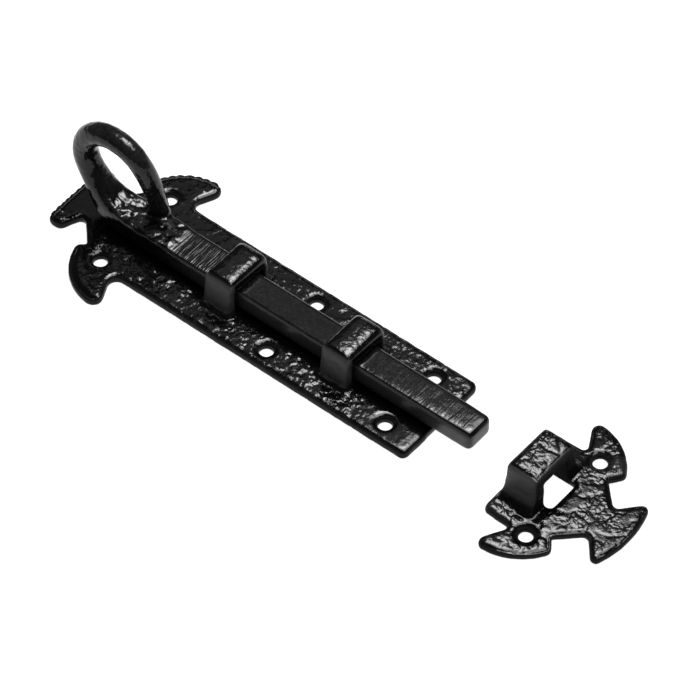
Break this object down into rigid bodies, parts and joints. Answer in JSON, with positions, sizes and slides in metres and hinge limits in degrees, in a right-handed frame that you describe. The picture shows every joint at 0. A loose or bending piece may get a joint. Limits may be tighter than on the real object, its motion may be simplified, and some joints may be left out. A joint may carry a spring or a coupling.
{
  "type": "straight door bolt",
  "caption": "Straight cast-iron door bolt: a bar with a curled ring handle slides through guides on a lobed backplate, towards a matching lobed keep.",
  "frame": {"origin": "on the door face, midway between the middle pair of screw holes", "axes": "+X along the bolt towards the keep, +Z away from the door"},
  "size_m": [0.2263, 0.0648, 0.0442],
  "materials": {
    "rough_black": "black paint over a rough casting, satin gloss",
    "smooth_black": "black paint over a dressed casting, satin gloss",
    "keep_black": "black paint over a hammered casting, satin gloss",
    "pin_steel": "plain steel, driven in"
  },
  "bodies": {
    "fixed": {"backplate": "rough_black", "keep": "keep_black"},
    "sliding": {"bolt": "smooth_black", "stop_pin": "pin_steel"}
  },
  "joints": [
    {"name": "bolt_slide", "type": "slide", "parent": "fixed", "child": "sliding", "axis": [1, 0, 0], "range_m": [-0.0156, 0.016]}
  ]
}
